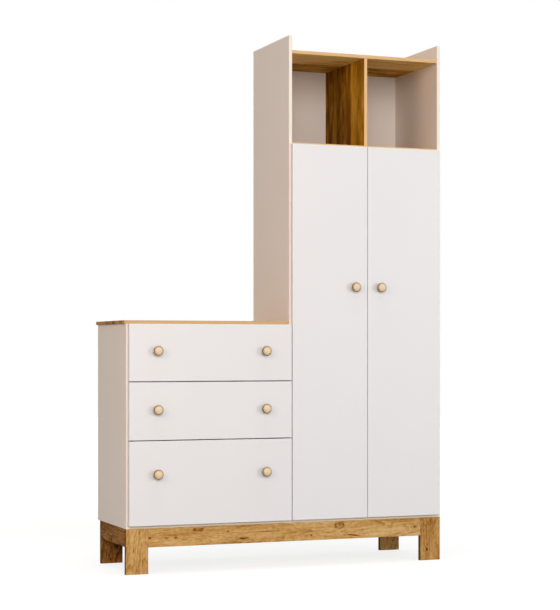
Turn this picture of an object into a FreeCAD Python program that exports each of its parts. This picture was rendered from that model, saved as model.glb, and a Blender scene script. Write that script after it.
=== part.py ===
import FreeCAD, Part

import math
import os
import re

import Sketcher

# A child's chifforobe: a three-drawer chest joined to a two-door wardrobe with an open niche,
# on a base of flat board legs. +Z is up and the fronts face -Y. The origin is on the floor, at
# the middle of the whole cabinet's plan. All sizes are in millimetres.

doc = FreeCAD.newDocument("chifforobe")
sheet = doc.addObject("Spreadsheet::Sheet", "Sizes")

# ---------------------------------------------------------------- driving dimensions

SIZES = {
    # carcass
    "overall_height": 1900,
    "chest_opening": 588,
    "wardrobe_opening": 573,
    "carcass_depth": 378,
    "board": 12,
    "back_panel": 3,
    "rabbet": 4,
    "rim_height": 52,
    "niche_height": 318,
    "shelf_clearance": 330,
    "shelf_setback": 12,
    "top_overhang": 7,
    "edge_radius": 1,
    # base frame
    "base_height": 158,
    "base_board": 18,
    "apron_height": 66,
    "leg_width": 80,
    "base_side_inset": 6,
    "base_rear_inset": 6,
    "bearer_height": 50,
    "block_side": 30,
    "block_height": 55,
    # fronts
    "front_board": 16,
    "front_standoff": 1.5,
    "front_gap": 3,
    "door_gap": 2,
    "front_reveal": 10,
    "side_reveal": 7,
    "door_top_reveal": 6,
    "front_radius": 1.6,
    "upper_front": 199,
    "middle_front": 200.5,
    "lower_front": 292.5,
    # drawer boxes
    "box_board": 12,
    "box_back_gap": 26.5,
    "box_lift": 14,
    "box_top_drop": 46,
    "box_bottom": 3,
    "bottom_lift": 10,
    "bottom_groove": 5,
    "groove_play": 0.2,
    # drawer slides
    "slide_room": 13,
    "slide_back_gap": 27,
    "slide_setback": 3,
    "slide_lift": 38,
    "slide_steel": 1.2,
    "slide_outer_height": 45,
    "slide_outer_depth": 9.7,
    "slide_outer_lip": 3,
    "slide_middle_height": 36,
    "slide_middle_stand": 2.4,
    "slide_middle_depth": 6.6,
    "slide_inner_height": 28,
    "slide_inner_depth": 8,
    # knobs
    "knob_diameter": 35,
    "knob_projection": 24,
    "knob_neck": 16,
    "knob_head": 11,
    "knob_shoulder": 5.5,
    "drawer_knob_inset": 100,
    "upper_knob_drop": 94,
    "middle_knob_drop": 96,
    "lower_knob_drop": 115.5,
    "door_knob_inset": 49,
    "door_knob_lift": 834,
    # hanging rail
    "rail_height": 30,
    "rail_thickness": 15,
    "rail_wall": 1.2,
    "rail_drop": 60,
    "socket_wall": 2.5,
    "socket_depth": 14,
    "socket_play": 0.3,
    # hinges: x runs in from the door's outer edge, y back from the door's rear face
    "hinge_end": 100,
    "cup_diameter": 35,
    "cup_offset": 22.5,
    "cup_depth": 12,
    "cup_wall": 1.5,
    "cup_floor": 0.8,
    "cup_play": 0.1,
    "flange_steel": 1,
    "flange_half": 30,
    "flange_foot": 8,
    "flange_end": 37,
    "arm_pin_x": 26.5,
    "arm_pin_y": -6.3,
    "arm_pin_radius": 1.2,
    "arm_height": 13,
    "arm_slot": 7,
    "arm_slot_y": -3.2,
    "arm_rise": 11.5,
    "arm_gap": 0.5,
    "arm_steel": 1.5,
    "arm_play": 0.2,
    "arm_bend_y": 24,
    "arm_end_y": 60,
    "nose_half": 2.9,
    "pin_play": 0.06,
    "link_bend_x": 14.3,
    "link_bend_y": -9.1,
    "link_tip_x": 9.9,
    "link_tip_y": -6.1,
    "link_half": 0.8,
    "link_eye": 2.3,
    "link_height": 6.4,
    "plate_steel": 2,
    "plate_half": 24,
    "plate_foot_y": 37,
    "plate_foot": 18,
    "plate_wing": 6,
    "plate_end": 5,
}

# Places and sizes that follow from the driving dimensions, each in the words above.
PLACES = {
    "carcass_width": "3 * board + chest_opening + wardrobe_opening",
    "x_left": "(top_overhang - carcass_width) / 2",
    "x_chest": "x_left + board",
    "x_middle": "x_chest + chest_opening",
    "x_wardrobe": "x_middle + board",
    "x_right": "x_wardrobe + wardrobe_opening",
    "y_front": "(front_standoff + front_board + knob_projection - carcass_depth) / 2",
    "y_back": "y_front + carcass_depth",
    "y_rear_face": "y_front - front_standoff",
    "y_face": "y_rear_face - front_board",
    "inner_depth": "carcass_depth - back_panel",
    "z_inside": "base_height + board",
    "z_roof": "overall_height - rim_height - board",
    "z_niche": "z_roof - niche_height",
    "z_shelf": "z_inside + shelf_clearance",
    "z_lower": "base_height + front_reveal",
    "z_middle": "z_lower + lower_front + front_gap",
    "z_upper": "z_middle + middle_front + front_gap",
    "z_chest_top": "z_upper + upper_front",
    "x_wardrobe_middle": "x_wardrobe + wardrobe_opening / 2",
    "hinge_overlay": "(board - front_gap) / 2",
    "door_width": "(wardrobe_opening + 2 * hinge_overlay - door_gap) / 2",
    "door_height": "z_niche - door_top_reveal - z_lower",
    "x_left_door": "x_wardrobe - hinge_overlay",
    "x_right_door": "x_right + hinge_overlay",
    "hinge_span": "door_height - 2 * hinge_end",
    "x_drawer": "x_left + side_reveal",
    "drawer_width": "x_middle + hinge_overlay - x_drawer",
    "x_box": "x_chest + slide_room",
    "box_width": "chest_opening - 2 * slide_room",
    "box_depth": "inner_depth + front_standoff - box_back_gap",
    "slide_length": "inner_depth - slide_setback - slide_back_gap",
    "panel_overlap": "rabbet - groove_play",
    "y_legs_rear": "y_back - base_rear_inset - base_board",
    "base_span": "carcass_depth - base_rear_inset - 2 * base_board",
    "z_apron": "base_height - apron_height",
}

for row, (name, value) in enumerate(SIZES.items(), start=1):
    sheet.set(f"A{row}", name)
    sheet.set(f"B{row}", str(value))
    sheet.setAlias(f"B{row}", name)
doc.recompute()


def bound(text):
    """The expression for a size written in the words of SIZES and PLACES."""

    def spell(match):
        word = match.group(0)
        if word in SIZES:
            return "Sizes." + word
        if word in PLACES:
            return "(" + bound(PLACES[word]) + ")"
        return word

    return re.sub(r"[a-z_]+", spell, str(text))


def number(text):
    """The present value of a size written in the same words."""
    return float(sheet.evalExpression(bound(text)))


# ---------------------------------------------------------------- small tools

HALF = "half"
HOLLOW_HALF = "hollow half"
SMALLEST_CUT = 1e-3
SHORT_EDGE = 20
HINGES_PER_DOOR = 3
KNOBS_PER_DRAWER = 2
NODES = []


def new_body(name):
    """A named piece. Several like pieces in it stay separate solids."""
    body = doc.addObject("PartDesign::Body", name)
    body.Label = name
    body.AllowCompound = True
    NODES.append(body)
    return body


def place(body, x, y, z, turned=False):
    """Puts a piece's own origin at a place in the cabinet, turned half round about Y if asked."""
    if turned:
        body.Placement.Rotation = FreeCAD.Rotation(FreeCAD.Vector(0, 1, 0), 180)
    for axis, text in zip("xyz", (x, y, z)):
        body.setExpression(f"Placement.Base.{axis}", bound(text))


def origin_plane(body, role):
    return next(f for f in body.Origin.OriginFeatures if f.Role == role)


def new_sketch(body, role):
    sketch = body.newObject("Sketcher::SketchObject", "outline")
    sketch.AttachmentSupport = (origin_plane(body, role), [""])
    sketch.MapMode = "FlatFace"
    return sketch


def pin_point(sketch, edge, end, x, y):
    """Ties one end of an edge to its two measures from the sketch's origin."""
    for kind, text in (("DistanceX", x), ("DistanceY", y)):
        index = sketch.addConstraint(Sketcher.Constraint(kind, -1, 1, edge, end, number(text)))
        sketch.setExpression(f"Constraints[{index}]", bound(text))


def outline(body, role, corners):
    """A closed outline. A corner is (x, y), or (x, y, HALF) where half a circle leads on to the
    next corner. HALF bulges to the right of the way, and HOLLOW_HALF to the left."""
    sketch = new_sketch(body, role)
    points = [FreeCAD.Vector(number(c[0]), number(c[1]), 0) for c in corners]
    count = len(corners)
    starts = []
    for i, corner in enumerate(corners):
        start, end = points[i], points[(i + 1) % count]
        if len(corner) == 2:
            sketch.addGeometry(Part.LineSegment(start, end), False)
            starts.append((1, 2))
            continue
        hollow = corner[2] == HOLLOW_HALF
        sketch.addGeometry(half_circle(end, start) if hollow else half_circle(start, end), False)
        starts.append((2, 1) if hollow else (1, 2))
        centre_on_chord(sketch, i, corner, corners[(i + 1) % count], end - start)
    for i in range(count):
        follower = (i + 1) % count
        sketch.addConstraint(
            Sketcher.Constraint("Coincident", i, starts[i][1], follower, starts[follower][0])
        )
    for i, corner in enumerate(corners):
        pin_point(sketch, i, starts[i][0], corner[0], corner[1])
    return sketch


def half_circle(start, end):
    """Half a circle that runs anticlockwise from start to end."""
    centre = (start + end) * 0.5
    angles = [math.atan2(p.y - centre.y, p.x - centre.x) for p in (start, end)]
    circle = Part.Circle(centre, FreeCAD.Vector(0, 0, 1), (end - start).Length / 2)
    return Part.ArcOfCircle(circle, angles[0], angles[1])


def centre_on_chord(sketch, edge, corner, follower, chord):
    """Ties the centre of a half circle to the middle of its chord."""
    kind, axis = ("DistanceY", 1) if abs(chord.x) > abs(chord.y) else ("DistanceX", 0)
    text = f"(({corner[axis]}) + ({follower[axis]})) / 2"
    index = sketch.addConstraint(Sketcher.Constraint(kind, -1, 1, edge, 3, number(text)))
    sketch.setExpression(f"Constraints[{index}]", bound(text))


def rectangle(body, role, width, height, x="0", y="0"):
    right, top = f"{x} + {width}", f"{y} + {height}"
    return outline(body, role, [(x, y), (right, y), (right, top), (x, top)])


def pad(body, sketch, length, reverse=False, both=False):
    feature = body.newObject("PartDesign::Pad", "pad")
    feature.Profile = sketch
    feature.setExpression("Length", bound(length))
    feature.Reversed = reverse
    if both:
        feature.SideType = "Symmetric"
    doc.recompute()
    return feature


def pocket(body, sketch, length, reverse=False):
    """Cuts a sketch into the piece, and makes sure that the cut takes something away."""
    before = body.Shape.Volume
    feature = body.newObject("PartDesign::Pocket", "pocket")
    feature.Profile = sketch
    feature.setExpression("Length", bound(length))
    feature.Reversed = reverse
    doc.recompute()
    if body.Shape.Volume > before - SMALLEST_CUT:
        raise RuntimeError(f"{body.Label}: a pocket cuts nothing")
    return feature


def primitive(body, kind, sizes, offset, turn=None):
    """An additive or subtractive box or cylinder at an offset from the piece's origin."""
    feature = body.newObject("PartDesign::" + kind, kind.lower())
    feature.AttachmentSupport = (origin_plane(body, "XY_Plane"), [""])
    feature.MapMode = "FlatFace"
    if turn:
        feature.AttachmentOffset = FreeCAD.Placement(FreeCAD.Vector(), turn)
    for axis, text in zip("xyz", offset):
        feature.setExpression(f"AttachmentOffset.Base.{axis}", bound(text))
    for name, text in sizes.items():
        feature.setExpression(name, bound(text))
    doc.recompute()
    return feature


def soften(body, radius, wanted):
    """Rounds the edges that wanted(low, high) picks by their lowest and highest corners."""
    tip = body.Tip
    names = []
    for index, edge in enumerate(tip.Shape.Edges, start=1):
        box = edge.BoundBox
        low = FreeCAD.Vector(box.XMin, box.YMin, box.ZMin)
        high = FreeCAD.Vector(box.XMax, box.YMax, box.ZMax)
        if wanted(low, high):
            names.append(f"Edge{index}")
    if not names:
        raise RuntimeError(f"{body.Label}: no edge to round")
    feature = body.newObject("PartDesign::Fillet", "rounding")
    feature.Base = (tip, names)
    feature.setExpression("Radius", bound(radius))
    doc.recompute()
    return feature


def near(a, b):
    return abs(a - b) < 0.01


def front_edges(along):
    """Picks the edges of the front face, y = 0 in the piece's own frame, that run along an axis."""

    def wanted(low, high):
        length = {"x": high.x - low.x, "z": high.z - low.z}[along]
        return near(low.y, 0) and near(high.y, 0) and length > SHORT_EDGE

    return wanted


def front_face(low, high):
    return near(low.y, 0) and near(high.y, 0)


def upright(low, high):
    return near(low.x, high.x) and near(low.y, high.y)


def level_left_or_front(low, high):
    left = near(low.x, 0) and near(high.x, 0)
    return near(low.z, high.z) and (left or front_face(low, high))


def long_at_height(height):
    """Picks the level edges at a height in the piece's own frame, but not the short end ones."""

    def wanted(low, high):
        longest = max(high.x - low.x, high.y - low.y)
        return near(low.z, height) and near(high.z, height) and longest > SHORT_EDGE

    return wanted


def board(name, size, corner):
    """A plain board from its width, depth and height, with its low front left corner placed."""
    body = new_body(name)
    width, depth, height = size
    pad(body, rectangle(body, "XY_Plane", width, depth), height)
    place(body, *corner)
    return body


def row_of(body, axis, length, count):
    """Repeats all of a piece along an axis, as separate solids over the given length."""
    feature = body.newObject("PartDesign::LinearPattern", "row")
    feature.TransformMode = "Whole shape"
    feature.Direction = (origin_plane(body, axis), [""])
    feature.setExpression("Length", bound(length))
    feature.Occurrences = count
    body.Tip = feature
    doc.recompute()
    if len(body.Shape.Solids) % count:
        raise RuntimeError(f"{body.Label}: the row has {len(body.Shape.Solids)} solids")
    return feature


def mirror_of(body):
    """Adds the mirror image of all of a piece about its own YZ plane."""
    feature = body.newObject("PartDesign::Mirrored", "mirror")
    feature.TransformMode = "Whole shape"
    feature.MirrorPlane = (origin_plane(body, "YZ_Plane"), [""])
    body.Tip = feature
    doc.recompute()
    return feature


# ---------------------------------------------------------------- carcass

def upright_panel(name, x, top, rabbets):
    """A side panel standing on the base, with rabbets along its rear edge for the backs."""
    body = board(name, ("board", "carcass_depth", f"{top} - base_height"), (x, "y_front", "base_height"))
    for rabbet_x, rabbet_top in rabbets:
        cut = rectangle(body, "XY_Plane", "rabbet", "back_panel", rabbet_x, "inner_depth")
        pocket(body, cut, f"{rabbet_top} - base_height", reverse=True)
    soften(body, "edge_radius", front_edges("z"))
    return body


def carcass():
    inner_side = "board - rabbet"
    upright_panel("chest_side_panel", "x_left", "z_chest_top", [(inner_side, "z_chest_top")])
    upright_panel(
        "middle_side_panel",
        "x_middle",
        "overall_height",
        [("0", "z_chest_top"), (inner_side, "z_roof + board")],
    )
    upright_panel("right_side_panel", "x_right", "overall_height", [("0", "z_roof + board")])

    cross_boards = (
        ("chest_bottom_board", "chest_opening", "x_chest", "base_height"),
        ("wardrobe_bottom_board", "wardrobe_opening", "x_wardrobe", "base_height"),
        ("niche_floor_board", "wardrobe_opening", "x_wardrobe", "z_niche - board"),
        ("niche_roof_board", "wardrobe_opening", "x_wardrobe", "z_roof"),
    )
    for name, width, x, z in cross_boards:
        body = board(name, (width, "inner_depth", "board"), (x, "y_front", z))
        soften(body, "edge_radius", front_edges("x"))

    top = board(
        "chest_top_board",
        ("chest_opening + board + top_overhang", "carcass_depth", "board"),
        ("x_left - top_overhang", "y_front", "z_chest_top"),
    )
    soften(top, "edge_radius", level_left_or_front)

    divider = board(
        "niche_divider",
        ("board", "inner_depth", "niche_height"),
        ("x_wardrobe_middle - board / 2", "y_front", "z_niche"),
    )
    soften(divider, "edge_radius", front_edges("z"))

    shelf = board(
        "wardrobe_shelf",
        ("wardrobe_opening", "inner_depth - shelf_setback", "board"),
        ("x_wardrobe", "y_front + shelf_setback", "z_shelf"),
    )
    soften(shelf, "edge_radius", front_edges("x"))

    backs = (
        ("chest_back_panel", "chest_opening", "x_chest", "z_chest_top"),
        ("wardrobe_back_panel", "wardrobe_opening", "x_wardrobe", "z_roof + board"),
    )
    for name, opening, x, top_z in backs:
        board(
            name,
            (f"{opening} + 2 * panel_overlap", "back_panel", f"{top_z} - base_height"),
            (f"{x} - panel_overlap", "y_front + inner_depth", "base_height"),
        )


def base_frame():
    """Four flat board legs joined by aprons, a bearer under the middle panel and corner blocks."""
    x_end = "x_right + board"
    legs = (
        ("front_left_leg", "x_left", "y_front"),
        ("front_right_leg", f"{x_end} - leg_width", "y_front"),
        ("rear_left_leg", "x_left + base_side_inset", "y_legs_rear"),
        ("rear_right_leg", f"{x_end} - base_side_inset - leg_width", "y_legs_rear"),
    )
    for name, x, y in legs:
        leg = board(name, ("leg_width", "base_board", "base_height"), (x, y, "0"))
        soften(leg, "edge_radius", upright)

    long_aprons = (
        ("front_apron", "x_left + leg_width", "y_front", "0"),
        ("rear_apron", "x_left + base_side_inset + leg_width", "y_legs_rear", "base_side_inset"),
    )
    for name, x, y, inset in long_aprons:
        width = f"carcass_width - 2 * leg_width - 2 * {inset}"
        apron = board(name, (width, "base_board", "apron_height"), (x, y, "z_apron"))
        soften(apron, "edge_radius", long_at_height(0))

    y_behind = "y_front + base_board"
    side_aprons = (
        ("left_apron", "x_left + base_side_inset"),
        ("right_apron", f"{x_end} - base_side_inset - base_board"),
    )
    for name, x in side_aprons:
        apron = board(name, ("base_board", "base_span", "apron_height"), (x, y_behind, "z_apron"))
        soften(apron, "edge_radius", long_at_height(0))

    board(
        "middle_bearer",
        ("base_board", "base_span", "bearer_height"),
        ("x_middle + board / 2 - base_board / 2", y_behind, "base_height - bearer_height"),
    )

    blocks = new_body("corner_blocks")
    inner_width = "(carcass_width - 2 * base_side_inset - 2 * base_board)"
    for x, leg_x in (("0", "block_side"), (inner_width, f"{inner_width} - block_side")):
        for y, leg_y in (("0", "block_side"), ("base_span", "(base_span - block_side)")):
            corners = [(x, y), (leg_x, y), (x, leg_y)]
            pad(blocks, outline(blocks, "XY_Plane", corners), "block_height")
    place(blocks, "x_left + base_side_inset + base_board", y_behind, "base_height - block_height")


def oval(height, thickness):
    """The outline of a flat-sided oval tube, round at its top and bottom, in the YZ plane."""
    side = f"({thickness}) / 2"
    straight = f"(({height}) - ({thickness})) / 2"
    return [
        (side, f"-({straight})"),
        (side, straight, HALF),
        (f"-({side})", straight),
        (f"-({side})", f"-({straight})", HALF),
    ]


def hanging_rail():
    """An oval steel tube between two open-topped sockets on the wardrobe's side panels."""
    rail = new_body("hanging_rail")
    skin = outline(rail, "YZ_Plane", oval("rail_height", "rail_thickness"))
    length = "wardrobe_opening - 2 * socket_wall"
    pad(rail, skin, length)
    core = outline(
        rail,
        "YZ_Plane",
        oval("rail_height - 2 * rail_wall", "rail_thickness - 2 * rail_wall"),
    )
    pocket(rail, core, length, reverse=True)
    y_rail = "y_front + inner_depth / 2"
    z_rail = "z_niche - board - rail_drop"
    place(rail, "x_wardrobe + socket_wall", y_rail, z_rail)

    sockets = new_body("rail_sockets")
    half = "(rail_thickness / 2 + socket_play + socket_wall)"
    foot = "(rail_height / 2 - rail_thickness / 2)"
    top = "(rail_height / 2)"
    cup = [
        (half, f"-{foot}"),
        (half, top),
        (f"-{half}", top),
        (f"-{half}", f"-{foot}", HALF),
    ]
    plate = outline(sockets, "YZ_Plane", cup)
    pad(sockets, plate, "socket_wall")
    inner = f"({half} - socket_wall)"
    saddle = [
        (half, f"-{foot}"),
        (half, top),
        (inner, top),
        (inner, f"-{foot}", HOLLOW_HALF),
        (f"-{inner}", f"-{foot}"),
        (f"-{inner}", top),
        (f"-{half}", top),
        (f"-{half}", f"-{foot}", HALF),
    ]
    pad(sockets, outline(sockets, "YZ_Plane", saddle), "socket_depth")
    move_to_left_end(sockets)
    place(sockets, "x_wardrobe_middle", y_rail, z_rail)


def move_to_left_end(body):
    """Shifts the sketches of a piece to the wardrobe's left wall, and mirrors it to the right."""
    for sketch in body.Group:
        if sketch.TypeId == "Sketcher::SketchObject":
            sketch.setExpression("AttachmentOffset.Base.z", bound("-wardrobe_opening / 2"))
    doc.recompute()
    mirror_of(body)


# ---------------------------------------------------------------- drawers

DRAWERS = ("upper", "middle", "lower")
OVER = FreeCAD.Rotation(FreeCAD.Vector(1, 0, 0), 180)
BEVEL_IN = 1 - math.sqrt(0.5)
BEVEL_UP = math.sqrt(0.5)


def knob_profile():
    """A mushroom knob's half section: a neck, a flat underside, a rim, and a shoulder of two
    bevels round the flat face. The two bevels stand for a rounding and keep the facets few."""
    rim = "(knob_diameter / 2)"
    underside = "knob_projection - knob_head"
    brow = "(knob_projection - knob_shoulder)"
    return [
        ("0", "0"),
        ("knob_neck / 2", "0"),
        ("knob_neck / 2", underside),
        (rim, underside),
        (rim, brow),
        (f"{rim} - knob_shoulder * {BEVEL_IN}", f"{brow} + knob_shoulder * {BEVEL_UP}"),
        (f"{rim} - knob_shoulder", "knob_projection"),
        ("0", "knob_projection"),
    ]


def add_knob(body):
    """Turns one knob whose foot is at the origin and whose face looks to -Y."""
    sketch = outline(body, "XY_Plane", knob_profile())
    sketch.AttachmentOffset = FreeCAD.Placement(FreeCAD.Vector(), OVER)
    turned = body.newObject("PartDesign::Revolution", "turning")
    turned.Profile = sketch
    turned.ReferenceAxis = (sketch, ["V_Axis"])
    turned.Angle = 360
    doc.recompute()


def drawer(prefix):
    """A drawer box on its front, with two knobs."""
    z_front = f"z_{prefix}"
    front_height = f"{prefix}_front"
    front = board(
        f"{prefix}_drawer_front",
        ("drawer_width", "front_board", front_height),
        ("x_drawer", "y_face", z_front),
    )
    soften(front, "front_radius", front_face)

    side_height = f"({front_height} - box_lift - box_top_drop)"
    z_box = f"({z_front} + box_lift)"
    groove_height = "box_bottom + 2 * groove_play"
    sides = (
        (f"{prefix}_drawer_left_side", "x_box", "box_board - bottom_groove"),
        (f"{prefix}_drawer_right_side", "x_box + box_width - box_board", "0"),
    )
    for name, x, groove_x in sides:
        side = board(name, ("box_board", "box_depth", side_height), (x, "y_rear_face", z_box))
        groove = rectangle(
            side, "XZ_Plane", "bottom_groove", groove_height, groove_x, "bottom_lift - groove_play"
        )
        pocket(side, groove, "box_depth")
        soften(side, "edge_radius", long_at_height(number(side_height)))

    back_lift = "(bottom_lift + box_bottom)"
    board(
        f"{prefix}_drawer_back",
        ("box_width - 2 * box_board", "box_board", f"{side_height} - {back_lift}"),
        ("x_box + box_board", "y_rear_face + box_depth - box_board", f"{z_box} + {back_lift}"),
    )
    board(
        f"{prefix}_drawer_bottom",
        (
            "box_width - 2 * box_board + 2 * bottom_groove - 2 * groove_play",
            "box_depth",
            "box_bottom",
        ),
        (
            "x_box + box_board - bottom_groove + groove_play",
            "y_rear_face",
            f"{z_box} + bottom_lift",
        ),
    )

    knobs = new_body(f"{prefix}_drawer_knobs")
    add_knob(knobs)
    row_of(knobs, "X_Axis", "drawer_width - 2 * drawer_knob_inset", KNOBS_PER_DRAWER)
    place(
        knobs,
        "x_drawer + drawer_knob_inset",
        "y_face",
        f"{z_front} + {front_height} - {prefix}_knob_drop",
    )


def channel(height, near_x, far_x, lip):
    """A roll-formed channel with its web at near_x and its flanges reaching to far_x. A lip
    folds each flange's free edge back towards the middle. far_x may lie on either side."""
    half = f"({height} / 2)"
    inward = "1" if number(f"{far_x} - {near_x}") > 0 else "-1"
    web = f"({near_x} + {inward} * slide_steel)"
    edge = f"({far_x} - {inward} * slide_steel)"
    floor = f"({half} - slide_steel)"
    if lip:
        turn = f"({half} - {lip})"
        lower = [(near_x, f"-{half}"), (far_x, f"-{half}"), (far_x, f"-{turn}"), (edge, f"-{turn}")]
        lower += [(edge, f"-{floor}"), (web, f"-{floor}")]
    else:
        lower = [(near_x, f"-{half}"), (far_x, f"-{half}"), (far_x, f"-{floor}"), (web, f"-{floor}")]
    upper = [(x, z.lstrip("-")) for x, z in reversed(lower)]
    return lower + upper


def slide_pair(name, profile, z_centres):
    """The left members of a slide at each height, and their mirror images at the right."""
    body = new_body(name)
    for z in z_centres:
        corners = [(f"{x} - chest_opening / 2", f"{y} + {z} - {z_centres[0]}") for x, y in profile]
        pad(body, outline(body, "XZ_Plane", corners), "slide_length", reverse=True)
    mirror_of(body)
    place(body, "x_chest + chest_opening / 2", "y_front + slide_setback", z_centres[0])


def slides():
    """Three-member telescopic slides: outer on the cabinet, inner on the drawer, one between."""
    heights = [f"(z_{prefix} + box_lift + slide_lift)" for prefix in DRAWERS]
    outer = channel("slide_outer_height", "0", "slide_outer_depth", "slide_outer_lip")
    stand = "slide_middle_stand"
    between = channel("slide_middle_height", stand, f"{stand} + slide_middle_depth", None)
    inner = channel("slide_inner_height", "slide_room", "slide_room - slide_inner_depth", None)
    slide_pair("slide_outer_members", outer, heights)
    for prefix, height in zip(DRAWERS, heights):
        slide_pair(f"{prefix}_slide_middle_members", between, [height])
        slide_pair(f"{prefix}_slide_inner_members", inner, [height])


# ---------------------------------------------------------------- doors and hinges

TO_THE_FRONT = FreeCAD.Rotation(FreeCAD.Vector(1, 0, 0), 90)
HEXAGON_RISE = math.sqrt(0.75)


def hang(body, side, y, lift):
    """Puts a door's piece at a height above the door's foot. What hangs at the right is the same
    piece turned over, so that its x runs from the right door's edge, and it hangs from the top."""
    if side == "left":
        place(body, "x_left_door", y, f"z_lower + {lift}")
    else:
        place(body, "x_right_door", y, f"z_lower + door_height - {lift}", turned=True)


def door(side):
    """A door with three cup bores in its rear face, and its knob near the free edge."""
    panel = new_body(f"{side}_door")
    pad(panel, rectangle(panel, "XY_Plane", "door_width", "front_board"), "door_height")
    soften(panel, "front_radius", front_face)
    for lift in ("hinge_end", "door_height / 2", "door_height - hinge_end"):
        primitive(
            panel,
            "SubtractiveCylinder",
            {"Radius": "cup_diameter / 2 + cup_play", "Height": "cup_depth"},
            ("cup_offset", "front_board", lift),
            TO_THE_FRONT,
        )
    hang(panel, side, "y_face", "0")

    knob = new_body(f"{side}_door_knob")
    add_knob(knob)
    reach = "(door_width - door_knob_inset)"
    x_knob = f"x_left_door + {reach}" if side == "left" else f"x_right_door - {reach}"
    place(knob, x_knob, "y_face", "z_lower + door_knob_lift")
    hinge_cups(side)
    hinge_arms(side)
    hinge_links(side)


def hinge_cups(side):
    """Three hollow cups, each with a flange that is screwed to the door's rear face."""
    cups = new_body(f"{side}_hinge_cups")
    shell = {"Radius": "cup_diameter / 2", "Height": "cup_depth"}
    primitive(cups, "AdditiveCylinder", shell, ("cup_offset", "0", "0"), TO_THE_FRONT)
    waist = "(cup_diameter / 2)"
    near_x = f"cup_offset - {waist}"
    far_x = f"cup_offset + {waist}"
    wing_x = "cup_offset + flange_foot / 2"
    flange = [
        (near_x, f"-{waist}"),
        (wing_x, "-flange_half"),
        ("flange_end", "-flange_half"),
        (far_x, f"-{waist}"),
        (far_x, waist),
        ("flange_end", "flange_half"),
        (wing_x, "flange_half"),
        (near_x, waist),
    ]
    pad(cups, outline(cups, "XZ_Plane", flange), "flange_steel", reverse=True)
    hollow = {
        "Radius": f"{waist} - cup_wall",
        "Height": "cup_depth - cup_floor + flange_steel",
    }
    mouth = ("cup_offset", "flange_steel", "0")
    primitive(cups, "SubtractiveCylinder", hollow, mouth, TO_THE_FRONT)
    row_of(cups, "Z_Axis", "hinge_span", HINGES_PER_DOOR)
    hang(cups, side, "y_rear_face", "hinge_end")


def hinge_arms(side):
    """Three arms with a forked nose and a pin, each folded over the ridge of its plate. The nose
    ends in half a hexagon round its pin."""
    arms = new_body(f"{side}_hinge_arms")
    nose_end = f"arm_pin_y - nose_half * {HEXAGON_RISE}"
    low = "(hinge_overlay + plate_steel + arm_gap)"
    high = f"({low} + arm_rise)"
    profile = [
        ("arm_pin_x - nose_half", "arm_pin_y"),
        ("arm_pin_x - nose_half / 2", nose_end),
        ("arm_pin_x + nose_half / 2", nose_end),
        ("arm_pin_x + nose_half", "arm_pin_y"),
        ("arm_pin_x + nose_half", "arm_slot_y + 3 * nose_half"),
        (high, "arm_bend_y"),
        (high, "arm_end_y"),
        (low, "arm_end_y"),
        (low, "arm_bend_y - nose_half"),
        ("arm_pin_x - nose_half", "arm_slot_y + 2 * nose_half"),
    ]
    pad(arms, outline(arms, "XY_Plane", profile), "arm_height", both=True)
    slot = {"Length": "2 * arm_pin_x", "Width": "3 * nose_half", "Height": "arm_slot"}
    slot_corner = ("0", "arm_slot_y - 3 * nose_half", "-arm_slot / 2")
    primitive(arms, "SubtractiveBox", slot, slot_corner)
    fold = {
        "Length": "arm_rise - arm_steel",
        "Width": "arm_end_y - arm_bend_y",
        "Height": "arm_height - 2 * arm_steel",
    }
    primitive(arms, "SubtractiveBox", fold, (low, "arm_bend_y", "arm_steel - arm_height / 2"))
    pin = {"Radius": "arm_pin_radius", "Height": "arm_slot"}
    primitive(arms, "AdditiveCylinder", pin, ("arm_pin_x", "arm_pin_y", "-arm_slot / 2"))
    row_of(arms, "Z_Axis", "hinge_span", HINGES_PER_DOOR)
    hang(arms, side, "y_rear_face", "hinge_end")


def mounting_plates():
    """Six winged plates on the wardrobe's side panels, each with the ridge that its arm sits on."""
    plates = new_body("hinge_mounting_plates")
    wall = "-wardrobe_opening / 2"
    y_foot = "(front_standoff + plate_foot_y)"
    half = "arm_height / 2"
    wing = [
        (f"{y_foot} - plate_wing", "-plate_half"),
        (f"{y_foot} + plate_wing", "-plate_half"),
        (f"{y_foot} + plate_foot", f"-{half}"),
        (f"{y_foot} + plate_foot", half),
        (f"{y_foot} + plate_wing", "plate_half"),
        (f"{y_foot} - plate_wing", "plate_half"),
        (f"{y_foot} - plate_foot", half),
        (f"{y_foot} - plate_foot", f"-{half}"),
    ]
    sketch = outline(plates, "YZ_Plane", wing)
    sketch.setExpression("AttachmentOffset.Base.z", bound(wall))
    pad(plates, sketch, "plate_steel")
    ridge = {
        "Length": "arm_gap + arm_rise - arm_steel",
        "Width": "2 * plate_foot - plate_end",
        "Height": "arm_height - 2 * arm_steel - 2 * arm_play",
    }
    low_corner = (
        f"{wall} + plate_steel",
        f"{y_foot} - plate_foot + plate_end",
        "arm_steel + arm_play - arm_height / 2",
    )
    primitive(plates, "AdditiveBox", ridge, low_corner)
    row_of(plates, "Z_Axis", "hinge_span", HINGES_PER_DOOR)
    mirror_of(plates)
    place(plates, "x_wardrobe_middle", "y_rear_face", "z_lower + hinge_end")


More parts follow.
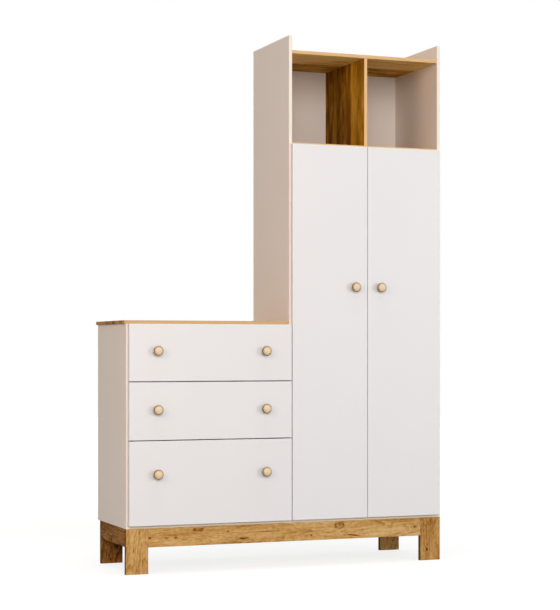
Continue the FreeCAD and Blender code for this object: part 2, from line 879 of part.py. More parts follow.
def hinge_links(side):
    """Three bent links, each with an eye on its arm's pin and a tip inside its cup."""
    links = new_body(f"{side}_hinge_links")
    strip = [
        ("arm_pin_x", "arm_pin_y + link_half"),
        ("link_bend_x + link_half / 2", "link_bend_y + link_half"),
        ("link_tip_x + link_half", "link_tip_y + link_half"),
        ("link_tip_x - link_half", "link_tip_y - link_half / 2"),
        ("link_bend_x - link_half / 2", "link_bend_y - link_half"),
        ("arm_pin_x", "arm_pin_y - 2 * link_half"),
    ]
    pad(links, outline(links, "XY_Plane", strip), "link_height", both=True)
    foot = ("arm_pin_x", "arm_pin_y", "-link_height / 2")
    primitive(links, "AdditiveCylinder", {"Radius": "link_eye", "Height": "link_height"}, foot)
    hole = {"Radius": "arm_pin_radius + pin_play", "Height": "link_height"}
    primitive(links, "SubtractiveCylinder", hole, foot)
    row_of(links, "Z_Axis", "hinge_span", HINGES_PER_DOOR)
    hang(links, side, "y_rear_face", "hinge_end")


# ---------------------------------------------------------------- the whole cabinet

carcass()
base_frame()
hanging_rail()
for prefix in DRAWERS:
    drawer(prefix)
slides()
for side in ("left", "right"):
    door(side)
mounting_plates()
doc.recompute()

for item in doc.Objects:
    if "Invalid" in item.State or "Error" in item.State:
        raise RuntimeError(f"{item.Label} is {item.State}")
for node in NODES:
    if node.Shape.isNull() or not node.Shape.isValid():
        raise RuntimeError(f"{node.Label} has no valid shape")

os.makedirs("parts", exist_ok=True)
for node in NODES:
    node.Shape.exportStep(f"parts/{node.Label}.step")
print(len(NODES), "pieces,", sum(len(node.Shape.Solids) for node in NODES), "solids")
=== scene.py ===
"""The looks of a child's chifforobe: a finish for every board, knob and fitting, the screws and
nails that hold them, and the stage that it stands on. All lengths are in metres."""

import math
import random
from typing import NamedTuple

import bmesh
import bpy
from bpy.props import FloatProperty, FloatVectorProperty, PointerProperty
from mathutils import Matrix, Vector


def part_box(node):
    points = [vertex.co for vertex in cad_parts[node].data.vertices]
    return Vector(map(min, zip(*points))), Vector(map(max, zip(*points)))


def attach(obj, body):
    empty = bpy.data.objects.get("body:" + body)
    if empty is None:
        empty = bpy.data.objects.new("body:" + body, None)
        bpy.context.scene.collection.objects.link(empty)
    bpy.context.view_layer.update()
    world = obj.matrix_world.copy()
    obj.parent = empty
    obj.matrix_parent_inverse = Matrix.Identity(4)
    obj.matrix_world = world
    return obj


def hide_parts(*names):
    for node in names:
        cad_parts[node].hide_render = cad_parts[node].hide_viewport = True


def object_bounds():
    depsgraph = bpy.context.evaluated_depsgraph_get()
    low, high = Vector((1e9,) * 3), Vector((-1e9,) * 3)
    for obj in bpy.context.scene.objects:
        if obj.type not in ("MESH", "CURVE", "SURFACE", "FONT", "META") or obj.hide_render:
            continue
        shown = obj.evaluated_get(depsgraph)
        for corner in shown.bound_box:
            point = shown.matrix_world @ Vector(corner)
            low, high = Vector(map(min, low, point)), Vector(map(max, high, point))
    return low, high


bl_info = {
    "name": "Chifforobe finishes",
    "version": (1, 0, 0),
    "blender": (4, 5, 0),
    "location": "3D View > Sidebar > Chifforobe",
    "description": "Finishes, fasteners and stage for a chifforobe",
    "category": "Object",
}

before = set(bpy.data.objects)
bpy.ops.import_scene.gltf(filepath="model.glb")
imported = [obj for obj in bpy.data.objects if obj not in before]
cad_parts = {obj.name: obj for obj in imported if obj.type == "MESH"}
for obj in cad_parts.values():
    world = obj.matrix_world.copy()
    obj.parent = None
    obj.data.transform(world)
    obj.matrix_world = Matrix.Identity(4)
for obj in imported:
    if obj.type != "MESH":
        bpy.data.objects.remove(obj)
CAD_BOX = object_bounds()

DRAWERS = ("upper", "middle", "lower")
SIDES = ("left", "right")
WHITE_BOARDS = ("chest_side_panel", "middle_side_panel", "right_side_panel", "wardrobe_shelf")
BOTTOM_BOARDS = ("chest_bottom_board", "wardrobe_bottom_board")
BACK_PANELS = ("chest_back_panel", "wardrobe_back_panel")


def linear(code):
    """The shader's red, green and blue for a six-figure colour code."""
    channels = [int(code[i : i + 2], 16) / 255 for i in (1, 3, 5)]
    return tuple(c / 12.92 if c < 0.04045 else ((c + 0.055) / 1.055) ** 2.4 for c in channels)


def colour(name, description, code):
    """A colour that the sidebar shows."""
    return FloatVectorProperty(
        name=name, description=description, subtype="COLOR", min=0, max=1, default=linear(code)
    )


def length(name, description, default):
    """A length in metres that the sidebar shows."""
    return FloatProperty(
        name=name, description=description, unit="LENGTH", subtype="DISTANCE",
        min=0, precision=5, default=default,
    )


def power(name, description, default):
    """A lamp's power in watts that the sidebar shows."""
    return FloatProperty(
        name=name, description=description, unit="POWER", min=0, default=default
    )


# ---- settings


class ChifforobeBoards(bpy.types.PropertyGroup):
    """Laminated boards and back panels."""

    # Painted shade in part: this white is warmer than the fronts', the laminate's own tone with
    # some of the side faces' warm shade painted in.
    panel_white: colour("Panel white", "White laminate of the sides, backs and shelf", "#f1e6db")
    # Painted shade in part: the bottom boards' beige also stands for the warm shade on their front
    # edges, which sit back under the fronts.
    bottom_beige_and_shade: colour("Bottom beige", "Laminate of the two bottom boards", "#eddcc4")
    front_white: colour("Front white", "Satin white of the drawer fronts and doors", "#e8e7e8")
    box_white: colour("Box white", "White foil on the drawer boxes", "#e4e2de")
    raw_chip: colour("Raw chipboard", "Unbanded rear edges", "#c7a77b")
    raw_fibre: colour("Raw fibreboard", "Bare side of the backs and drawer bottoms", "#a57a56")
    grain_size: length("Texture size", "Width of the laminate's fine texture", 0.0011)
    grain_depth: length("Texture depth", "Depth of the laminate's fine texture", 0.00003)
    worn_width: length("Worn width", "How far wear reaches in from an edge", 0.0022)


class ChifforobeWood(bpy.types.PropertyGroup):
    """Wood of the base and its look-alike, and the laminate of the niche's ceiling and divider,
    whose tones have the niche's warm shade painted in.
    """

    dark: colour("Dark", "Knots and cracks", "#4d2a0d")
    brown: colour("Brown", "Darker growth", "#8a5821")
    body: colour("Body", "The wood's own colour", "#b6874a")
    honey: colour("Honey", "Paler growth", "#cb9f61")
    pale: colour("Pale", "Palest streaks", "#dcb982")
    # Sawn is dark end grain on the aprons' end faces, and painted shade on the faces of the legs
    # and corner blocks that look left and right.
    sawn: colour("Sawn", "The boards' narrow faces at their ends", "#5a350c")
    # Painted shade: the laminate's five tones are warmer and more saturated than the wood's own,
    # for the warm shade inside the niche where they go, on the ceiling and the divider.
    foil_dark: colour("Laminate dark", "Darkest streaks of the laminate", "#3f1f05")
    foil_brown: colour("Laminate brown", "Darker growth of the laminate", "#774807")
    foil_body: colour("Laminate body", "The laminate's own colour", "#ab7a1c")
    foil_honey: colour("Laminate honey", "Paler growth of the laminate", "#d09a30")
    foil_pale: colour("Laminate pale", "Palest streaks of the laminate", "#f5cf80")
    # The band is an edge band, and also the laminate's lit tone, paler than the shaded tones of its
    # faces.
    band: colour("Edge band", "Pale band on the laminated boards' front edges", "#dfb887")
    ring_width: length("Ring width", "Growth in one year", 0.0056)
    pore_length: length("Pore length", "Length of the open pores", 0.008)
    pore_depth: length("Pore depth", "Depth of the open pores", 0.00012)


class ChifforobeKnobs(bpy.types.PropertyGroup):
    """Turned knobs."""

    pale: colour("Pale", "Early growth of the turned wood", "#e9d6b4")
    dark: colour("Dark", "Late growth of the turned wood", "#d5b382")
    # Painted shade: the knobs' rounding and neck take this darker colour where they turn away from
    # the front.
    rounding_shade: colour("Stained", "Where varnish gathers on the rounding and the neck", "#7d6039")
    ring_width: length("Ring width", "Growth in one year", 0.0034)
    neck_radius: length("Neck radius", "Radius of the neck under the head", 0.008)
    head_depth: length("Head depth", "Thickness of the head", 0.011)
    shoulder: length("Shoulder", "Radius of the rounding round the face", 0.0048)
    dome: length("Dome", "Radius of the domed face", 0.03)
    cove: length("Cove", "Radius of the hollow under the head", 0.002)
    tool_mark: length("Tool mark", "Spacing of the fine rings that turning leaves", 0.0007)


class ChifforobeSteel(bpy.types.PropertyGroup):
    """Slides, hinges and the hanging rail."""

    zinc: colour("Zinc", "Zinc plate on the drawer slides and screws", "#c2c6ca")
    nickel: colour("Nickel", "Nickel plate on the hinges", "#d0cabf")
    chrome: colour("Chrome", "Chrome plate on the rail", "#dcdee0")


class ChifforobeFasteners(bpy.types.PropertyGroup):
    """Screws and nails."""

    screw_radius: length("Screw head radius", "Radius of a pan head", 0.0036)
    screw_rise: length("Screw head height", "Height of a pan head", 0.0014)
    nail_radius: length("Nail head radius", "Radius of a back panel's nail heads", 0.0023)
    nail_rise: length("Nail head height", "How far a nail head stands proud", 0.0002)
    nail_spacing: length("Nail spacing", "Distance from nail to nail", 0.11)
    nail_inset: length("Nail inset", "Distance from a panel's upright edges to its nails", 0.0025)
    nail_lift: length("Nail lift", "Distance from a panel's foot and top to its nails", 0.006)


class ChifforobeStage(bpy.types.PropertyGroup):
    """Floor, lamps and camera."""

    floor_radius: length("Floor radius", "Radius of the round floor", 14)
    floor_grey: colour("Floor grey", "The floor's own colour, which shadows fall on", "#8c8c8c")
    floor_lift: FloatProperty(
        name="Floor lift", description="White added where the floor is seen", min=0, default=0.8
    )
    floor_near: length("Near floor", "How far from the cabinet the floor keeps its shadows", 1.6)
    floor_far: length("Far floor", "From how far on the floor is plain white", 3.2)
    sky: FloatProperty(
        name="Sky", description="Even light from all round", min=0, default=0.25
    )
    key: power("Key lamp", "Power of the lamp at the front right", 118)
    front: power("Front lamp", "Power of the wide lamp in front", 205)
    fill: power("Fill lamp", "Power of the warm lamp at the left", 34)
    top: power("Top lamp", "Power of the wide lamp overhead", 190)
    fill_warmth: colour("Fill colour", "Colour of the warm lamp", "#ffddc2")
    camera_place: FloatVectorProperty(
        name="Camera", description="Where the camera stands", subtype="TRANSLATION",
        default=(-2.217, -6.029, 0.775),
    )
    camera_turn: FloatProperty(
        name="Camera turn", description="The camera's turn about the upright axis",
        subtype="ANGLE", default=math.radians(-22.43),
    )
    camera_lens: FloatProperty(
        name="Lens", description="Focal length in millimetres", min=1, default=103.52
    )
    camera_shift: FloatVectorProperty(
        name="Shift", description="The lens's sideways and upward shift", size=2,
        default=(-0.0984, 0.0739),
    )


class ChifforobeSettings(bpy.types.PropertyGroup):
    """All that a user may change."""

    boards: PointerProperty(type=ChifforobeBoards)
    wood: PointerProperty(type=ChifforobeWood)
    knobs: PointerProperty(type=ChifforobeKnobs)
    steel: PointerProperty(type=ChifforobeSteel)
    fasteners: PointerProperty(type=ChifforobeFasteners)
    stage: PointerProperty(type=ChifforobeStage)


# ---- shader maths


class Wire:
    """An output socket. Python's operators on it add Math nodes to its tree."""

    def __init__(self, nodes, socket):
        self.nodes = nodes
        self.socket = socket

    def math(self, operation, *values):
        return self.nodes.node("Math", {"operation": operation}, dict(enumerate(values)))

    def __add__(self, other):
        return self.math("ADD", self, other)

    def __sub__(self, other):
        return self.math("SUBTRACT", self, other)

    def __rsub__(self, other):
        return self.math("SUBTRACT", other, self)

    def __mul__(self, other):
        return self.math("MULTIPLY", self, other)

    def __truediv__(self, other):
        return self.math("DIVIDE", self, other)

    def __pow__(self, other):
        return self.math("POWER", self, other)

    def __rpow__(self, other):
        return self.math("POWER", other, self)

    __radd__ = __add__
    __rmul__ = __mul__

    def fraction(self):
        """What is left of the value above its whole part."""
        return self.math("FRACT", self)

    def or_more(self, other):
        """The larger of two values."""
        return self.math("MAXIMUM", self, other)

    def faded(self, rate):
        """1 where the value is 0, falling off either way."""
        return math.e ** (self * self * -rate)

    def between(self, low, high):
        """0 up to low, 1 from high on, and a smooth step between."""
        settings = {"interpolation_type": "SMOOTHSTEP"}
        sockets = {"Value": self, "From Min": low, "From Max": high}
        return self.nodes.node("MapRange", settings, sockets)


class Nodes:
    """A node tree, and short names for the nodes that the finishes share."""

    def __init__(self, tree):
        self.tree = tree
        tree.nodes.clear()

    def node(self, kind, settings=None, sockets=None, out=0):
        """Adds a node, sets it up, feeds its sockets values or wires, and returns an output."""
        node = self.tree.nodes.new("ShaderNode" + kind)
        for name, value in (settings or {}).items():
            if name == "stops":
                self.set_stops(node.color_ramp, value)
            else:
                setattr(node, name, value)
        for name, value in (sockets or {}).items():
            if isinstance(value, Wire):
                self.tree.links.new(value.socket, node.inputs[name])
            else:
                node.inputs[name].default_value = value
        return Wire(self, node.outputs[out]) if node.outputs else None

    @staticmethod
    def set_stops(ramp, stops):
        """Puts the stops, from first to last, on a colour ramp."""
        while len(ramp.elements) < len(stops):
            ramp.elements.new(0.5)
        for element, (position, shade) in zip(ramp.elements, stops):
            element.position = position
            element.color = (*shade, 1)

    def vector(self, operation, *values, out=0):
        return self.node("VectorMath", {"operation": operation}, dict(enumerate(values)), out)

    def noise(self, place, scale=1.0, detail=2.0, roughness=0.5):
        """A cloudy pattern about a half, from 0 to 1."""
        sockets = {"Vector": place, "Scale": scale, "Detail": detail, "Roughness": roughness}
        return self.node("TexNoise", None, sockets)

    def clouds(self, place, scale=1.0, detail=2.0, roughness=0.5):
        """A cloudy pattern about 0, within half either way."""
        return self.noise(place, scale, detail, roughness) - 0.5

    def blend(self, below, above, factor):
        """One colour over another by a factor."""
        sockets = {0: factor, 6: self.opaque(below), 7: self.opaque(above)}
        return self.node("Mix", {"data_type": "RGBA"}, sockets, out=2)

    def grey(self, tone):
        """A number as a colour."""
        return self.node("CombineColor", None, {0: tone, 1: tone, 2: tone})

    def tinted(self, shade, tone):
        """A colour made darker or paler by a tone near 1."""
        sockets = {0: 1.0, 6: self.opaque(shade), 7: self.grey(tone)}
        settings = {"data_type": "RGBA", "blend_type": "MULTIPLY"}
        return self.node("Mix", settings, sockets, out=2)

    @staticmethod
    def opaque(shade):
        return shade if isinstance(shade, Wire) else (*shade, 1)


TONE_STOPS = (0.0, 0.26, 0.52, 0.74, 1.0)
SEED_SHIFT = (7.3, 3.1, 5.7)


class Finish(Nodes):
    """A material in the making. Its place is in metres in the frame of the whole cabinet."""

    def __init__(self, name):
        self.material = bpy.data.materials.new(name)
        self.material.use_nodes = True
        super().__init__(self.material.node_tree)
        self.place = self.node("TexCoord", out="Object")
        self.facing = self.node("TexCoord", out="Normal")

    def component(self, vector, axis):
        return self.node("SeparateXYZ", None, {0: vector}, out="XYZ".index(axis))

    def along_board(self, axis, reach, width, seed=0.0):
        """The place squeezed so that a pattern's spots are reach long and width wide."""
        scale = tuple(1 / reach if letter == axis else 1 / width for letter in "xyz")
        start = tuple(seed * shift for shift in SEED_SHIFT)
        return self.vector("MULTIPLY_ADD", self.place, scale, start)

    def grain(self, axis, reach, width, seed=0.0, detail=3):
        """Clouds drawn out along a board."""
        return self.clouds(self.along_board(axis, reach, width, seed), detail=detail)

    def ramp(self, tones, tone):
        """The wood's colour for a tone from 0 to 1, out of five from dark to pale."""
        stops = list(zip(TONE_STOPS, tones))
        return self.node("ValToRGB", {"stops": stops}, {"Fac": tone})

    def turned_to(self, axis, sign):
        """1 where the surface faces along an axis, or against it, and 0 elsewhere."""
        return (self.component(self.facing, axis) * sign).between(0.6, 0.8)

    def edges(self, width):
        """1 along the outer edges of a piece and 0 on its flats."""
        rounded = self.node("Bevel", {"samples": 6}, {"Radius": width})
        flat = self.node("NewGeometry", out="Normal")
        agreement = self.vector("DOT_PRODUCT", rounded, flat, out="Value")
        return (1 - agreement).between(0.01, 0.22)

    def surface(self, sockets, height=None, depth=0.0):
        """Ends the tree with a surface, roughened by a height map where there is one."""
        if height is not None:
            normal = self.node("Bump", None, {"Height": height, "Distance": depth})
            sockets = {**sockets, "Normal": normal}
        shader = self.node("BsdfPrincipled", None, sockets)
        self.node("OutputMaterial", None, {"Surface": shader})
        return self.material


def dress(names, material):
    """Gives CAD nodes a finish."""
    for name in names:
        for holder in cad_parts[name].material_slots:
            holder.material = material


# ---- board finishes


CHIPS_PER_METRE = (330, 330, 760)


def chipboard(finish, shade):
    """Pressed chips, as a sawn edge shows them: flakes of several browns, and their tops."""
    layout = finish.vector("MULTIPLY", finish.place, CHIPS_PER_METRE)
    flakes = finish.node("TexVoronoi", None, {"Vector": layout, "Scale": 1.0}, out="Color")
    flake = finish.component(flakes, "X")
    dust = finish.clouds(finish.place, 2600)
    tone = 0.62 + flake * 0.5 + dust * 0.3
    return finish.tinted(shade, tone), flake


def fibreboard(finish, shade):
    """Bare hardboard: fine brown fibres with darker specks."""
    fibres = finish.noise(finish.place, 900, detail=4, roughness=0.7)
    clouds = finish.noise(finish.place, 9)
    specks = finish.noise(finish.place, 420).between(0.64, 0.74)
    tone = 0.72 + fibres * 0.4 + clouds * 0.18 - specks * 0.22
    return finish.tinted(shade, tone), fibres


RAW_ROUGHNESS = 0.85
RAW_LUMPS = 4


def laminate(name, shade, boards, roughness, raw=None, raw_axis="Y", raw_sign=1):
    """White laminate with a fine dry texture. raw holds the function and the colour that draw the
    side left bare, which faces along raw_axis, or against it."""
    finish = Finish(name)
    clouds = finish.clouds(finish.place, 3.5, detail=3)
    grain = finish.clouds(finish.place, 1 / boards.grain_size, detail=3, roughness=0.6)
    rubbed = finish.noise(finish.place, 38).between(0.35, 0.75)
    worn = finish.edges(boards.worn_width)
    skin = finish.tinted(shade, 0.985 + clouds * 0.035 + grain * 0.02 - worn * rubbed * 0.05)
    gloss = roughness + clouds * 0.12 + grain * 0.1 - worn * 0.08
    height = grain
    if raw:
        draw, raw_shade = raw
        core, lumps = draw(finish, raw_shade)
        bare = finish.turned_to(raw_axis, raw_sign)
        skin = finish.blend(skin, core, bare)
        gloss = gloss + bare * (RAW_ROUGHNESS - roughness)
        height = grain + bare * lumps * RAW_LUMPS
    sockets = {"Base Color": skin, "Roughness": gloss, "Specular IOR Level": 0.42}
    return finish.surface(sockets, height, boards.grain_depth)


class CHIFFOROBE_OT_white_boards(bpy.types.Operator):
    """Laminate the side panels, bottoms and shelf, and leave their rear edges bare"""

    bl_idname = "chifforobe.white_boards"
    bl_label = "White boards"

    def execute(self, context):
        boards = context.scene.chifforobe.boards
        bare = (chipboard, boards.raw_chip)
        panel = laminate("panel_laminate", boards.panel_white, boards, roughness=0.46, raw=bare)
        bottom = laminate("bottom_laminate", boards.bottom_beige_and_shade, boards, roughness=0.46, raw=bare)
        dress(WHITE_BOARDS, panel)
        dress(BOTTOM_BOARDS, bottom)
        return {"FINISHED"}


class CHIFFOROBE_OT_fronts(bpy.types.Operator):
    """Give the drawer fronts and doors their satin white"""

    bl_idname = "chifforobe.fronts"
    bl_label = "Fronts and doors"

    def execute(self, context):
        boards = context.scene.chifforobe.boards
        fronts = [f"{drawer}_drawer_front" for drawer in DRAWERS]
        fronts += [f"{side}_door" for side in SIDES]
        dress(fronts, laminate("front_satin", boards.front_white, boards, roughness=0.38))
        return {"FINISHED"}


class CHIFFOROBE_OT_backs(bpy.types.Operator):
    """Finish the back panels: white inside and bare fibreboard behind"""

    bl_idname = "chifforobe.backs"
    bl_label = "Back panels"

    def execute(self, context):
        boards = context.scene.chifforobe.boards
        bare = (fibreboard, boards.raw_fibre)
        panel = laminate("back_panel_white", boards.panel_white, boards, roughness=0.5, raw=bare)
        dress(BACK_PANELS, panel)
        return {"FINISHED"}


class CHIFFOROBE_OT_drawer_boxes(bpy.types.Operator):
    """Wrap the drawer boxes in white foil, and leave the bottoms bare below"""

    bl_idname = "chifforobe.drawer_boxes"
    bl_label = "Drawer boxes"

    def execute(self, context):
        boards = context.scene.chifforobe.boards
        foil = laminate("box_foil", boards.box_white, boards, roughness=0.5)
        bare = (fibreboard, boards.raw_fibre)
        below = {"raw": bare, "raw_axis": "Z", "raw_sign": -1}
        bottom = laminate("drawer_bottom_white", boards.box_white, boards, roughness=0.5, **below)
        for drawer in DRAWERS:
            walls = ("left_side", "right_side", "back")
            dress([f"{drawer}_drawer_{wall}" for wall in walls], foil)
            dress([f"{drawer}_drawer_bottom"], bottom)
        return {"FINISHED"}


# ---- wood


# How far a board leans from its pith, per metre, and how far its rings wander, in metres.
LEAN, RING_DRIFT, RING_RIPPLE = 0.055, 0.055, 0.0045

# The tone of plain growth, and how much each part of the figure adds or takes.
PLAIN_TONE, PATCHES, STREAKS, FIBRES, BURR, PORES = 0.62, 0.8, 0.55, 0.36, 0.55, 0.22

# How fast the bend, the stain and the rim of a mark fade with the distance from it.
BEND_FADE, STAIN_FADE, RIM_FADE = 0.35, 1.6, 12

# A printed sheet's tone, the share of the wood's own figure that it keeps, and how its strips'
# borders wave and blur, in metres.
PRINT_TONE, PRINT_FIGURE, BORDER_WAVE, BORDER_BLUR = 0.19, 0.65, 0.012, 0.006

# How far in the wood's edges are rubbed, in metres, how pale that makes them, and its low shine.
RUBBED_WIDTH, RUBBED_PALE, WOOD_SHINE = 0.0018, 0.35, 0.01


class Mark(NamedTuple):
    """A knot, pin knot or crack: an oval in the grain that bends the growth round it. A knot may
    have a dark rim, and a crack may slant across the grain."""

    place: tuple
    reach: float
    width: float
    bend: float
    darkness: float
    rim: float = 0.0
    slant: float = 0.0

    def distance(self, finish, axis, run):
        """0 at the mark's middle and 1 at its outline."""
        scale = [1 / self.reach if letter == axis else 1 / self.width for letter in "xyz"]
        offset = [-c * s for c, s in zip(self.place, scale)]
        oval = finish.vector("MULTIPLY_ADD", finish.place, scale, offset)
        if self.slant:
            shear = (0, 0, self.slant * scale[2])
            beyond = run - self.place["xyz".index(axis)]
            lift = finish.node("VectorMath", {"operation": "SCALE"}, {0: shear, "Scale": beyond})
            oval = finish.vector("ADD", oval, lift)
        return finish.vector("LENGTH", oval, out="Value")


def growth(finish, name, axis, pith, wood, seed, marks=()):
    """Tone and height of a board sawn along an axis: the tone from 0, dark, to 1, pale.

    The growth rings run round a pith that lies beside the board's middle and isn't quite parallel
    to it, so that a broad face shows arches and a narrow one shows lines."""
    low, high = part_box(name)
    run = finish.component(finish.place, axis.upper())
    across = tuple(0.0 if letter == axis else 1.0 for letter in "xyz")
    start = [(-c - p) * a for c, p, a in zip((low + high) / 2, pith, across)]
    lean = [LEAN * math.sin(seed * 9 + i) * a for i, a in enumerate(across)]
    radial = finish.vector("MULTIPLY_ADD", finish.place, across, start)
    sway = finish.node("VectorMath", {"operation": "SCALE"}, {0: lean, "Scale": run})
    radius = finish.vector("LENGTH", finish.vector("ADD", radial, sway), out="Value")

    drift = finish.grain(axis, 0.3, 0.07, seed, detail=2)
    ripple = finish.grain(axis, 0.035, 0.012, seed + 1)
    radius = radius + drift * RING_DRIFT + ripple * RING_RIPPLE
    stain = 0.0
    for mark in marks:
        distance = mark.distance(finish, axis, run) + ripple * 0.5
        if mark.bend:
            radius = radius + distance.faded(BEND_FADE) * mark.bend
        stain = stain + distance.faded(STAIN_FADE) * mark.darkness
        if mark.rim:
            stain = stain + (distance - 1).faded(RIM_FADE) * mark.rim

    rings = (radius / wood.ring_width).fraction()
    late = rings ** 2.2 * (1 - rings.between(0.9, 1.0))
    vigour = finish.noise(finish.along_board(axis, 0.12, 0.03, seed + 2)).between(0.3, 0.7)
    patches = finish.grain(axis, 0.4, 0.05, seed + 3)
    streaks = finish.grain(axis, 0.09, 0.0042, seed + 4)
    fibres = finish.grain(axis, 0.02, 0.0007, seed + 5)
    pore_place = finish.along_board(axis, wood.pore_length, 0.00055, seed + 6)
    pores = finish.noise(pore_place, detail=1).between(0.6, 0.72) * (0.35 + late * 0.65)
    tone = PLAIN_TONE + patches * PATCHES + streaks * STREAKS + fibres * FIBRES
    tone = tone - late * (0.1 + vigour * 0.26) - pores * PORES - stain
    return tone, 1 - pores - late * 0.25 - stain


def palette(wood, kind=""):
    """Five tones from dark to pale: the wood's own or, with foil_, the laminate's, which have the
    niche's warm shade painted in.
    """
    return [getattr(wood, kind + tone) for tone in ("dark", "brown", "body", "honey", "pale")]


class Print(NamedTuple):
    """A sheet of wood-look laminate: its tones, how strongly it is mottled, the strips of wood
    that it shows, each with how far back it starts and how much darker it is, and how much
    darker it is all over. On the niche's ceiling and divider the strips are partly painted shade,
    growing towards the back of the niche, and the ceiling is made paler all over as painted light."""

    tones: list
    mottling: float
    strips: tuple
    shading_and_tone: float = 0.0

    def skin(self, finish, axis, seed, tone):
        """The sheet's colour over the wood's own growth."""
        mottle = finish.grain(axis, 0.13, 0.03, seed)
        tone = PRINT_TONE + (tone - self.shading_and_tone) * PRINT_FIGURE + mottle * self.mottling
        back = finish.component(finish.place, "Y") + mottle * BORDER_WAVE
        for start, darker in self.strips:
            tone = tone - back.between(start - BORDER_BLUR, start + BORDER_BLUR) * darker
        return finish.ramp(self.tones, tone)


def worn_wood(finish, skin, tone, height, gloss, wood):
    """Ends a wood finish: its edges rubbed pale, duller in the pores, with their depth."""
    worn = finish.edges(RUBBED_WIDTH) * finish.noise(finish.place, 55).between(0.4, 0.62)
    skin = finish.blend(skin, wood.pale, worn * RUBBED_PALE)
    gloss = gloss + (1 - height) * 0.22 - tone * 0.06
    sockets = {"Base Color": skin, "Roughness": gloss, "Specular IOR Level": WOOD_SHINE}
    return finish.surface(sockets, height, wood.pore_depth)


def laminated_wood(name, axis, pith, wood, seed, band_shading, sheet, lit_upper_sheet=None):
    """A finish for a board with a printed sheet all round, or another one on its upper face, and a
    pale band on its front edge.
    With two sheets they are shaded and lit copies of one print: painted shade all round, painted
    light on the upper face."""
    finish = Finish(f"{name}_wood")
    tone, height = growth(finish, name, axis, pith, wood, seed)
    skin = sheet.skin(finish, axis, seed + 9, tone)
    # Painted light: faces that look up take the upper sheet, the copy of the print as it looks lit
    # from above.
    if lit_upper_sheet:
        upper = lit_upper_sheet.skin(finish, axis, seed + 10, tone)
        skin = finish.blend(skin, upper, finish.turned_to("Z", 1))
    # Painted light and shade: the front edge takes the pale band, the laminate's lit tone, made
    # darker or paler for each board.
    streaks = finish.noise(finish.along_board(axis, 0.06, 0.0016, seed + 8), detail=3)
    band = finish.tinted(wood.band, (0.8 + streaks * 0.4) * band_shading)
    skin = finish.blend(skin, band, finish.turned_to("Y", -1))
    return worn_wood(finish, skin, tone, height, 0.5, wood)


def solid_wood(name, axis, pith, wood, seed, marks, shading_and_tone):
    """A finish for a burred board of the base. Where it stands or runs along the front, its faces
    that look left and right go dark:
    end grain on the aprons, painted shade on the sides of the legs and corner blocks.
    shading_and_tone makes it darker or paler all over, with painted shade on some boards."""
    finish = Finish(f"{name}_wood")
    tone, height = growth(finish, name, axis, pith, wood, seed, marks)
    burr = finish.grain(axis, 0.013, 0.0065, seed + 9, detail=2)
    tone = tone - shading_and_tone + burr * BURR
    skin = finish.ramp(palette(wood), tone)
    # Painted shade and end grain: faces that look left and right go dark, end grain on the aprons
    # and shaded sides on the legs and corner blocks.
    if axis != "y":
        shaded_sides_and_ends = finish.turned_to("X", 1) + finish.turned_to("X", -1)
        skin = finish.blend(skin, finish.tinted(wood.sawn, 0.7 + tone * 0.6), shaded_sides_and_ends * 0.8)
    return worn_wood(finish, skin, tone, height, 0.56, wood)


class CHIFFOROBE_OT_wood_boards(bpy.types.Operator):
    """Finish the chest top, the niche's boards and its divider in wood-look laminate"""

    bl_idname = "chifforobe.wood_boards"
    bl_label = "Wood-look boards"

    def execute(self, context):
        wood = context.scene.chifforobe.wood
        # solid holds the wood's own tones, and foil the laminate's, with the niche's warm shade
        # painted in.
        solid, foil = palette(wood), palette(wood, "foil_")
        flat, upright = (0, 0.03, 0.085), (0.08, -0.04, 0)
        top = Print(solid, 0.8, ((-0.05, 0.12), (0.08, -0.16)))
        shelf = Print(solid, 0.8, ((-0.03, -0.1), (0.09, 0.14)))
        # Painted light and shade: the ceiling is made much paler all over for the light its
        # underside lacks, and its strip from 0.03 back is darker, partly a second plank of the
        # print and partly the shade far back in the niche.
        ceiling = Print(foil, 1.3, ((0.03, 0.46),), shading_and_tone=-0.82)
        roof = Print(solid, 0.8, ((-0.04, -0.14), (0.07, 0.12)))
        # Painted shade in part: the divider is darker behind its front third and a little less dark
        # at the rear, partly the print and partly the shade that grows into the niche.
        divider = Print(foil, 1.0, ((-0.043, 0.22), (0.07, -0.05)), shading_and_tone=0.03)
        boards = (
            # name, grain, where the pith runs from the board's middle, seed, band's tone with
            # painted light and shade, sheets
            # Painted shade darkens the chest top's band to 0.79; the divider's band is made paler,
            # 1.08.
            ("chest_top_board", "x", flat, 1.5, 0.79, (top,)),
            ("niche_floor_board", "x", flat, 2.5, 1.0, (shelf,)),
            ("niche_roof_board", "x", flat, 3.5, 1.0, (ceiling, roof)),
            ("niche_divider", "z", upright, 5.2, 1.08, (divider,)),
        )
        for name, axis, pith, seed, band_shading, sheets in boards:
            dress([name], laminated_wood(name, axis, pith, wood, seed, band_shading, *sheets))
        return {"FINISHED"}


